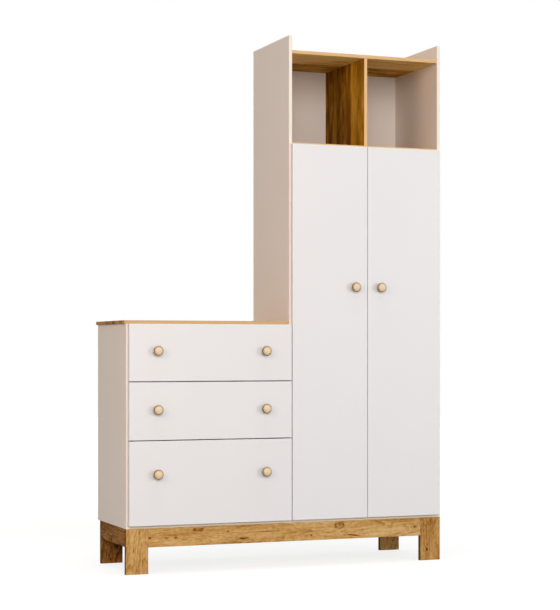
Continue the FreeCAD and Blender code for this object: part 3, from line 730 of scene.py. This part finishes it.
# The knots, pin knots and cracks on the front of the base, from left to right: x, z, reach along
# the grain, width, bend, darkness, rim and slant.
FRONT_MARKS = {
    "front_apron": (
        (-0.510, 0.125, 0.0085, 0.0045, 0.012, 0.75),
        (-0.450, 0.122, 0.0080, 0.0040, 0.010, 0.60),
        (-0.416, 0.121, 0.0075, 0.0040, 0.010, 0.50),
        (-0.335, 0.147, 0.0160, 0.0050, 0.008, 0.30, 0.35),
        (-0.2245, 0.1365, 0.0040, 0.0030, 0.003, 0.80),
        (-0.166, 0.110, 0.0230, 0.0036, 0.014, 0.90),
        (-0.078, 0.131, 0.0420, 0.0014, 0.000, 0.60),
        (0.0904, 0.1105, 0.0040, 0.0032, 0.003, 0.95),
        (0.201, 0.1416, 0.0160, 0.0110, 0.022, 0.30, 0.38),
        (0.253, 0.1045, 0.0300, 0.0024, 0.008, 1.10, 0.0, 0.12),
        (0.500, 0.125, 0.0080, 0.0045, 0.012, 0.65),
    ),
    "front_left_leg": (
        (-0.5690, 0.083, 0.0060, 0.0024, 0.004, 0.40),
        (-0.5580, 0.014, 0.0045, 0.0022, 0.003, 0.45),
        (-0.5476, 0.142, 0.0240, 0.0030, 0.000, 0.42),
        # Painted shade: a soft dark streak along the leg's right edge, low down, with no bend.
        (-0.5360, 0.040, 0.0350, 0.0025, 0.000, 0.22),
    ),
    "front_right_leg": ((0.5490, 0.040, 0.0050, 0.0040, 0.006, 0.85),),
}


def front_marks(node):
    """The marks of a board's front face."""
    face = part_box(node)[0].y
    return [Mark((x, face, z), *rest) for x, z, *rest in FRONT_MARKS[node]]


def strewn_marks(node, seed, count=5):
    """Pin knots and small cracks strewn over a board of the base."""
    dice = random.Random(seed)
    low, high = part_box(node)
    marks = []
    for _ in range(count):
        place = [dice.uniform(a, b) for a, b in zip(low, high)]
        thin = min(range(3), key=lambda i: high[i] - low[i])
        place[thin] = low[thin] if dice.random() < 0.5 else high[thin]
        crack = dice.random() < 0.35
        reach = dice.uniform(0.015, 0.03) if crack else dice.uniform(0.004, 0.009)
        width = dice.uniform(0.0015, 0.003) if crack else reach * dice.uniform(0.5, 0.8)
        marks.append(Mark(place, reach, width, dice.uniform(0.003, 0.012), dice.uniform(0.5, 0.9)))
    return marks


class CHIFFOROBE_OT_base(bpy.types.Operator):
    """Finish the legs, aprons, bearer and corner blocks in knotty wood"""

    bl_idname = "chifforobe.base"
    bl_label = "Base frame"

    def execute(self, context):
        wood = context.scene.chifforobe.wood
        front, side, upright = (0, 0.06, -0.015), (0.06, 0, -0.02), (0.02, 0.055, 0)
        boards = (
            # name, grain, where the pith runs from the board's middle, how much darker it is,
            # painted shade in part
            ("front_apron", "x", front, -0.12),
            ("rear_apron", "x", front, 0),
            # Painted shade: the left apron is made darker for the shade on its left-facing side.
            ("left_apron", "y", side, 0.19),
            ("right_apron", "y", side, 0),
            ("middle_bearer", "y", side, 0),
            ("front_left_leg", "z", upright, -0.08),
            ("front_right_leg", "z", upright, 0.06),
            # Painted shade: the rear left leg is made darker for the shade under the cabinet.
            ("rear_left_leg", "z", upright, 0.34),
            ("rear_right_leg", "z", upright, 0),
            ("corner_blocks", "z", upright, 0),
        )
        for seed, (name, axis, pith, shading_and_tone) in enumerate(boards):
            marks = front_marks(name) if name in FRONT_MARKS else strewn_marks(name, seed)
            start = seed * 1.7 + 0.4
            dress([name], solid_wood(name, axis, pith, wood, start, marks, shading_and_tone))
        return {"FINISHED"}


KNOB_FIBRES_PER_METRE = (900, 150, 260)
RIDGE_DEPTH = 0.00002


def turned_wood(knobs):
    """Close-grained pale wood with the fine rings of the lathe, and a satin varnish, with painted
    shade on the rounding and the neck.
    """
    finish = Finish("turned_knob_wood")
    drift = finish.noise(finish.place, 30)
    slant = finish.component(finish.place, "X") * 0.8 + finish.component(finish.place, "Z")
    rings = ((slant + drift * 0.012) / knobs.ring_width).fraction()
    layout = finish.vector("MULTIPLY", finish.place, KNOB_FIBRES_PER_METRE)
    fibres = finish.noise(layout, detail=3)
    tone = rings ** 2 * 0.4 + fibres * 0.45
    skin = finish.blend(knobs.pale, knobs.dark, tone)
    # Painted shade: faces that turn away from the front, the rounding and the neck, take the darker
    # colour.
    level = (finish.component(finish.facing, "Y") * -1).between(0.78, 0.97)
    painted_rounding_shade = finish.tinted(knobs.rounding_shade, 0.85 + fibres * 0.3)
    skin = finish.blend(painted_rounding_shade, skin, level)
    marks = finish.component(finish.place, "Y") / knobs.tool_mark
    ridges = (marks.fraction() - 0.5) * 0.4
    sockets = {"Base Color": skin, "Roughness": 0.4 + fibres * 0.15}
    varnish = {"Coat Weight": 0.15, "Coat Roughness": 0.25}
    return finish.surface({**sockets, **varnish}, fibres + ridges, RIDGE_DEPTH)


# ---- steel


LINE_DEPTH = 0.00001


def plated(name, shade, roughness, axis, draw_length=0.05):
    """Plated steel with the faint lines of rolling or drawing along an axis, and a few scuffs."""
    finish = Finish(name)
    lines = finish.grain(axis, draw_length, 0.0006)
    clouds = finish.clouds(finish.place, 45, detail=3)
    scuffs = finish.noise(finish.place, 170).between(0.6, 0.75)
    skin = finish.tinted(shade, 0.9 + lines * 0.16 + clouds * 0.2)
    gloss = roughness + lines * 0.1 + clouds * 0.12 + scuffs * 0.12
    sockets = {"Base Color": skin, "Roughness": gloss, "Metallic": 1.0}
    return finish.surface(sockets, lines, LINE_DEPTH)


class CHIFFOROBE_OT_steelwork(bpy.types.Operator):
    """Plate the drawer slides, the hinges, the rail and its sockets"""

    bl_idname = "chifforobe.steelwork"
    bl_label = "Slides, hinges and rail"

    def execute(self, context):
        steel = context.scene.chifforobe.steel
        zinc = plated("slide_zinc", steel.zinc, roughness=0.34, axis="y")
        places = ("middle", "inner")
        members = [f"{drawer}_slide_{place}_members" for drawer in DRAWERS for place in places]
        dress(["slide_outer_members", *members], zinc)
        nickel = plated("hinge_nickel", steel.nickel, roughness=0.24, axis="y", draw_length=0.01)
        hinges = [f"{side}_hinge_{part}" for side in SIDES for part in ("cups", "arms", "links")]
        dress(["hinge_mounting_plates", *hinges], nickel)
        chrome = plated("rail_chrome", steel.chrome, roughness=0.14, axis="x", draw_length=0.2)
        dress(["hanging_rail", "rail_sockets"], chrome)
        return {"FINISHED"}


# ---- screws and nails


# A knob's screw has a wider head than the others, and a slide's a narrower and flatter one.
WIDE_HEAD = 1.2
SMALL_HEAD = (0.9, 0.8)


def lathe(profile, segments=32):
    """A mesh turned about Z from (radius, height) points, the last of them on the axis."""
    mesh = bmesh.new()
    rings = []
    for radius, height in profile[:-1]:
        turns = [2 * math.pi * i / segments for i in range(segments)]
        rings.append(
            [mesh.verts.new((radius * math.cos(t), radius * math.sin(t), height)) for t in turns]
        )
    crown = mesh.verts.new((0, 0, profile[-1][1]))
    for lower, upper in zip(rings, rings[1:]):
        for i in range(segments):
            j = (i + 1) % segments
            mesh.faces.new((lower[i], lower[j], upper[j], upper[i]))
    for i in range(segments):
        mesh.faces.new((rings[-1][i], rings[-1][(i + 1) % segments], crown))
    mesh.faces.new(list(reversed(rings[0])))
    return mesh


def pan_head(radius, rise):
    """A screw's pan head with a cross recess, seated at the origin and looking up +Z."""
    upright = 0.35
    bows = [math.radians(a) for a in (10, 30, 50, 68, 82)]
    profile = [(radius, 0), (radius, rise * upright)]
    profile += [
        (radius * math.cos(b), rise * (upright + (1 - upright) * math.sin(b))) for b in bows
    ]
    head = solid_from(lathe([*profile, (0, rise)]), "pan_head")
    recess = bmesh.new()
    blade = (radius * 1.15, radius * 0.26, rise * 1.6)
    middle = Matrix.Translation((0, 0, rise * 1.25))
    for angle in (0, 90):
        turn = Matrix.Rotation(math.radians(angle), 4, "Z")
        bmesh.ops.create_cube(recess, size=1, matrix=middle @ turn @ Matrix.Diagonal((*blade, 1)))
    cross = solid_from(recess, "cross_recess")
    cut = head.modifiers.new("recess", "BOOLEAN")
    cut.operation = "DIFFERENCE"
    cut.use_self = True
    cut.object = cross
    bpy.context.view_layer.update()
    cut_head = head.evaluated_get(bpy.context.evaluated_depsgraph_get())
    shape = bpy.data.meshes.new_from_object(cut_head)
    for spare in (head, cross):
        bpy.data.objects.remove(spare)
    return shape


def nail_head(radius, rise):
    """A flat nail's head, a little crowned, seated at the origin and looking up +Z."""
    profile = [(radius, 0), (radius * 0.97, rise * 0.5), (radius * 0.8, rise * 0.9), (0, rise)]
    return mesh_from(lathe(profile, segments=20), "nail_head")


def mesh_from(mesh, name):
    """A mesh from a bmesh, which is freed."""
    shape = bpy.data.meshes.new(name)
    mesh.to_mesh(shape)
    mesh.free()
    return shape


def solid_from(mesh, name):
    """An object of the scene from a bmesh, which is freed."""
    piece = bpy.data.objects.new(name, mesh_from(mesh, name))
    bpy.context.scene.collection.objects.link(piece)
    return piece


SLOT_FINISHES = {
    "knob_wood": "turned_knob_wood",
    "zinc_steel": "slide_zinc",
    "nickel_steel": "hinge_nickel",
}


def drive(name, head, spots, body, slot, dice):
    """One piece of many equal heads, each at a place and looking along a direction."""
    joined = bmesh.new()
    for place, look in spots:
        spin = Matrix.Rotation(dice.uniform(0, math.pi), 4, "Z")
        turn = Vector(look).to_track_quat("Z", "Y").to_matrix().to_4x4()
        copy = head.copy()
        copy.transform(Matrix.Translation(place) @ turn @ spin)
        joined.from_mesh(copy)
        bpy.data.meshes.remove(copy)
    piece = solid_from(joined, name)
    for face in piece.data.polygons:
        face.use_smooth = True
    piece.data.set_sharp_from_angle(angle=math.radians(35))
    piece.data.materials.append(bpy.data.materials[SLOT_FINISHES[slot]])
    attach(piece, body)
    return piece


def arc(centre, radius, start, end, steps=6):
    """Points of a profile on a round, from one angle to another in degrees."""
    angles = [math.radians(start + (end - start) * i / steps) for i in range(steps + 1)]
    return [(centre[0] + radius * math.cos(a), centre[1] + radius * math.sin(a)) for a in angles]


def turned_knob(knobs, radius, reach):
    """A knob standing at the origin and looking up +Z: a neck, a coved head and a domed face that
    runs into the rounding of its rim."""
    underside = reach - knobs.head_depth
    lip = knobs.cove * 0.6
    centre = reach - knobs.dome
    turn = math.asin((radius - knobs.shoulder) / (knobs.dome - knobs.shoulder))
    rim = centre + (knobs.dome - knobs.shoulder) * math.cos(turn)
    join = 90 - math.degrees(turn)
    profile = [(knobs.neck_radius, 0)]
    profile += arc((knobs.neck_radius + knobs.cove, underside - knobs.cove), knobs.cove, 180, 90)
    profile += arc((radius - lip, underside + lip), lip, -90, 0)
    profile += arc((radius - knobs.shoulder, rim), knobs.shoulder, 0, join, steps=8)
    profile += arc((0, centre), knobs.dome, join, 90, steps=7)[1:-1]
    return mesh_from(lathe([*profile, (0, reach)], segments=64), "turned_knob")


class CHIFFOROBE_OT_knobs(bpy.types.Operator):
    """Turn the knobs of the drawers and doors"""

    bl_idname = "chifforobe.knobs"
    bl_label = "Knobs"

    def execute(self, context):
        knobs = context.scene.chifforobe.knobs
        turned_wood(knobs)
        pairs = {f"{drawer}_drawer_knobs": f"{drawer}_drawer" for drawer in DRAWERS}
        singles = {f"{side}_door_knob": f"{side}_wardrobe_door" for side in SIDES}
        for node, body in {**pairs, **singles}.items():
            low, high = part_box(node)
            radius = (high.z - low.z) / 2
            columns = (low.x + radius, high.x - radius) if node in pairs else (low.x + radius,)
            spots = [((x, high.y, low.z + radius), (0, -1, 0)) for x in columns]
            head = turned_knob(knobs, radius, high.y - low.y)
            dice = random.Random(5)
            piece = drive(f"turned_{node}", head, spots, body, "knob_wood", dice)
            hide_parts(node)
        return {"FINISHED"}


def three_levels(node, height):
    """The middle heights of the three equal pieces of a node, each as tall as height."""
    low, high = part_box(node)
    return (low.z + height / 2, (low.z + high.z) / 2, high.z - height / 2)


def in_pairs(levels, lift):
    """The heights of two screws for each level, one lift below and one above it."""
    return [z + way for z in levels for way in (-lift, lift)]


class CHIFFOROBE_OT_knob_screws(bpy.types.Operator):
    """Put the screw behind each knob, inside the drawer or door"""

    bl_idname = "chifforobe.knob_screws"
    bl_label = "Knob screws"

    def execute(self, context):
        fasteners = context.scene.chifforobe.fasteners
        head = pan_head(fasteners.screw_radius * WIDE_HEAD, fasteners.screw_rise)
        dice = random.Random(3)
        behind = (0, 1, 0)
        for drawer in DRAWERS:
            low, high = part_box(f"{drawer}_drawer_knobs")
            radius = (high.z - low.z) / 2
            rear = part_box(f"{drawer}_drawer_front")[1].y
            spots = [((x, rear, low.z + radius), behind) for x in (low.x + radius, high.x - radius)]
            body = f"{drawer}_drawer"
            drive(f"{drawer}_knob_screws", head, spots, body, "zinc_steel", dice)
        for side in SIDES:
            low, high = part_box(f"{side}_door_knob")
            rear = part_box(f"{side}_door")[1].y
            spots = [(((low.x + high.x) / 2, rear, (low.z + high.z) / 2), behind)]
            body = f"{side}_wardrobe_door"
            drive(f"{side}_knob_screw", head, spots, body, "zinc_steel", dice)
        return {"FINISHED"}


class CHIFFOROBE_OT_hinge_screws(bpy.types.Operator):
    """Screw the hinge cups to the doors, the plates to the panels and the arms to the plates"""

    bl_idname = "chifforobe.hinge_screws"
    bl_label = "Hinge screws"

    def execute(self, context):
        fasteners = context.scene.chifforobe.fasteners
        head = pan_head(fasteners.screw_radius, fasteners.screw_rise)
        dice = random.Random(7)
        flange_height, plate_height, arm_height = 0.060, 0.048, 0.013
        ear_inset, ear_lift = 0.02675, 0.0235
        plate_lift, plate_steel = 0.0165, 0.002
        arm_stand, slot_back, clamp_back = 0.014, 0.0085, 0.0255
        for side in SIDES:
            inward = 1 if side == "left" else -1
            low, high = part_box(f"{side}_hinge_cups")
            x = low.x + ear_inset if side == "left" else high.x - ear_inset
            levels = three_levels(f"{side}_hinge_cups", flange_height)
            ears = [((x, high.y, z), (0, 1, 0)) for z in in_pairs(levels, ear_lift)]
            body = f"{side}_wardrobe_door"
            drive(f"{side}_hinge_cup_screws", head, ears, body, "nickel_steel", dice)

            plate_low, plate_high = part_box("hinge_mounting_plates")
            wall = plate_low.x if side == "left" else plate_high.x
            y = (plate_low.y + plate_high.y) / 2
            levels = three_levels("hinge_mounting_plates", plate_height)
            sunk = wall + inward * plate_steel
            wings = [((sunk, y, z), (inward, 0, 0)) for z in in_pairs(levels, plate_lift)]
            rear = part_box(f"{side}_hinge_arms")[1].y
            face = wall + inward * arm_stand
            levels = three_levels(f"{side}_hinge_arms", arm_height)
            adjusters = [
                ((face, rear - back, z), (inward, 0, 0))
                for z in levels
                for back in (slot_back, clamp_back)
            ]
            name = f"{side}_hinge_plate_screws"
            drive(name, head, wings + adjusters, "cabinet", "nickel_steel", dice)
        return {"FINISHED"}


class CHIFFOROBE_OT_slide_screws(bpy.types.Operator):
    """Screw the inner slide members to the drawers' sides"""

    bl_idname = "chifforobe.slide_screws"
    bl_label = "Slide screws"

    def execute(self, context):
        fasteners = context.scene.chifforobe.fasteners
        narrow, flat = SMALL_HEAD
        head = pan_head(fasteners.screw_radius * narrow, fasteners.screw_rise * flat)
        dice = random.Random(11)
        slide_steel, screws_along = 0.0012, (0.1, 0.45, 0.9)
        for drawer in DRAWERS:
            low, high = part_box(f"{drawer}_slide_inner_members")
            left_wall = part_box(f"{drawer}_drawer_left_side")[0].x
            right_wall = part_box(f"{drawer}_drawer_right_side")[1].x
            z = (low.z + high.z) / 2
            spots = []
            for share in screws_along:
                y = low.y + (high.y - low.y) * share
                spots.append(((left_wall - slide_steel, y, z), (-1, 0, 0)))
                spots.append(((right_wall + slide_steel, y, z), (1, 0, 0)))
            name = f"{drawer}_slide_screws"
            drive(name, head, spots, f"{drawer}_drawer", "zinc_steel", dice)
        return {"FINISHED"}


class CHIFFOROBE_OT_back_nails(bpy.types.Operator):
    """Nail the back panels all round"""

    bl_idname = "chifforobe.back_nails"
    bl_label = "Back nails"

    def execute(self, context):
        nails = context.scene.chifforobe.fasteners
        head = nail_head(nails.nail_radius, nails.nail_rise)
        dice = random.Random(19)
        for panel in BACK_PANELS:
            low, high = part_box(panel)
            left, right = low.x + nails.nail_inset, high.x - nails.nail_inset
            foot, top = low.z + nails.nail_lift, high.z - nails.nail_lift
            spots = []
            rows = max(2, round((top - foot) / nails.nail_spacing))
            for i in range(rows + 1):
                z = foot + (top - foot) * i / rows
                spots += [((x, high.y, z), (0, 1, 0)) for x in (left, right)]
            columns = max(2, round((right - left) / nails.nail_spacing))
            for i in range(1, columns):
                x = left + (right - left) * i / columns
                spots += [((x, high.y, z), (0, 1, 0)) for z in (foot, top)]
            drive(f"{panel}_nails", head, spots, "cabinet", "zinc_steel", dice)
        return {"FINISHED"}


# ---- stage


def seen_directly(nodes):
    """1 for what the eye sees straight, in a mirror or through glass, and 0 for light's own way."""
    kinds = ("Camera", "Glossy", "Transmission")
    eye, mirror, glass = (nodes.node("LightPath", out=f"Is {kind} Ray") for kind in kinds)
    return eye.or_more(mirror).or_more(glass)


def softbox(name, shade, watts, azimuth, elevation, distance, width):
    """A round lamp that looks at the cabinet from a distance, an azimuth from the front towards
    the right and a height above the level, both in degrees."""
    lamp = bpy.data.lights.new(name, "AREA")
    lamp.shape = "DISK"
    lamp.size = width
    lamp.color = shade
    lamp.energy = watts
    holder = bpy.data.objects.new(name, lamp)
    holder.visible_camera = False
    bpy.context.scene.collection.objects.link(holder)
    turn, lift = math.radians(azimuth), math.radians(elevation)
    level = math.cos(lift)
    away = Vector((math.sin(turn) * level, -math.cos(turn) * level, math.sin(lift)))
    holder.location = (Vector(CAD_BOX[0]) + Vector(CAD_BOX[1])) / 2 + away * distance
    holder.rotation_euler = away.to_track_quat("Z", "Y").to_euler()


def round_floor(stage):
    """A wide floor that looks white and keeps the shadows near the cabinet."""
    disc = bmesh.new()
    bmesh.ops.create_circle(disc, cap_ends=True, radius=stage.floor_radius, segments=96)
    floor = solid_from(disc, "studio_floor")
    finish = Finish("studio_floor_white")
    away = finish.vector("LENGTH", finish.place, out="Value")
    far = away.between(stage.floor_near, stage.floor_far)
    glow = seen_directly(finish) * (stage.floor_lift + far * (1 - stage.floor_lift))
    sockets = {"Base Color": (*stage.floor_grey, 1), "Roughness": 0.8, "Specular IOR Level": 0.1}
    shine = {"Emission Color": finish.grey(glow), "Emission Strength": 1.0}
    floor.data.materials.append(finish.surface({**sockets, **shine}))


def white_surround(stage):
    """Even light from all round, and a white to look at."""
    world = bpy.data.worlds.new("studio_surround")
    bpy.context.scene.world = world
    world.use_nodes = True
    nodes = Nodes(world.node_tree)
    light = nodes.node("Background", None, {"Color": (1, 1, 1, 1), "Strength": stage.sky})
    white = nodes.node("Background", None, {"Color": (1, 1, 1, 1), "Strength": 1.0})
    view = nodes.node("MixShader", None, {0: seen_directly(nodes), 1: light, 2: white})
    nodes.node("OutputWorld", None, {"Surface": view})


class CHIFFOROBE_OT_stage(bpy.types.Operator):
    """Set up the floor, the lamps and the camera"""

    bl_idname = "chifforobe.stage"
    bl_label = "Stage"

    def execute(self, context):
        scene = context.scene
        stage = scene.chifforobe.stage
        round_floor(stage)
        white_surround(stage)
        white = (1, 1, 1)
        lamps = (
            # name, colour, power, azimuth, elevation, distance, width
            ("key_lamp", white, stage.key, 42, 5, 7, 2.5),
            ("front_lamp", white, stage.front, -12, 14, 7, 4),
            ("fill_lamp", stage.fill_warmth, stage.fill, -55, 14, 3.6, 1.6),
            ("top_lamp", white, stage.top, 0, 84, 7, 4),
        )
        for lamp in lamps:
            softbox(*lamp)
        camera = bpy.data.cameras.new("studio_camera")
        camera.lens = stage.camera_lens
        camera.shift_x, camera.shift_y = stage.camera_shift
        holder = bpy.data.objects.new("studio_camera", camera)
        holder.location = stage.camera_place
        holder.rotation_euler = (math.radians(90), 0, stage.camera_turn)
        scene.collection.objects.link(holder)
        scene.camera = holder
        scene.view_settings.view_transform = "Standard"
        return {"FINISHED"}


# ---- sidebar and registration

STEPS = (
    CHIFFOROBE_OT_white_boards,
    CHIFFOROBE_OT_fronts,
    CHIFFOROBE_OT_backs,
    CHIFFOROBE_OT_drawer_boxes,
    CHIFFOROBE_OT_wood_boards,
    CHIFFOROBE_OT_base,
    CHIFFOROBE_OT_knobs,
    CHIFFOROBE_OT_steelwork,
    CHIFFOROBE_OT_knob_screws,
    CHIFFOROBE_OT_hinge_screws,
    CHIFFOROBE_OT_slide_screws,
    CHIFFOROBE_OT_back_nails,
    CHIFFOROBE_OT_stage,
)


class CHIFFOROBE_PT_sidebar(bpy.types.Panel):
    """Lists the steps"""

    bl_label = "Chifforobe"
    bl_idname = "CHIFFOROBE_PT_sidebar"
    bl_space_type = "VIEW_3D"
    bl_region_type = "UI"
    bl_category = "Chifforobe"

    def draw(self, context):
        for step in STEPS:
            self.layout.operator(step.bl_idname)


CLASSES = (
    ChifforobeBoards,
    ChifforobeWood,
    ChifforobeKnobs,
    ChifforobeSteel,
    ChifforobeFasteners,
    ChifforobeStage,
    ChifforobeSettings,
    *STEPS,
    CHIFFOROBE_PT_sidebar,
)


def register():
    for item in CLASSES:
        bpy.utils.register_class(item)
    bpy.types.Scene.chifforobe = PointerProperty(type=ChifforobeSettings)


def unregister():
    del bpy.types.Scene.chifforobe
    for item in reversed(CLASSES):
        bpy.utils.unregister_class(item)


def main():
    register()
    for step in STEPS:
        group, name = step.bl_idname.split(".")
        getattr(getattr(bpy.ops, group), name)()


if __name__ == "__main__":
    main()
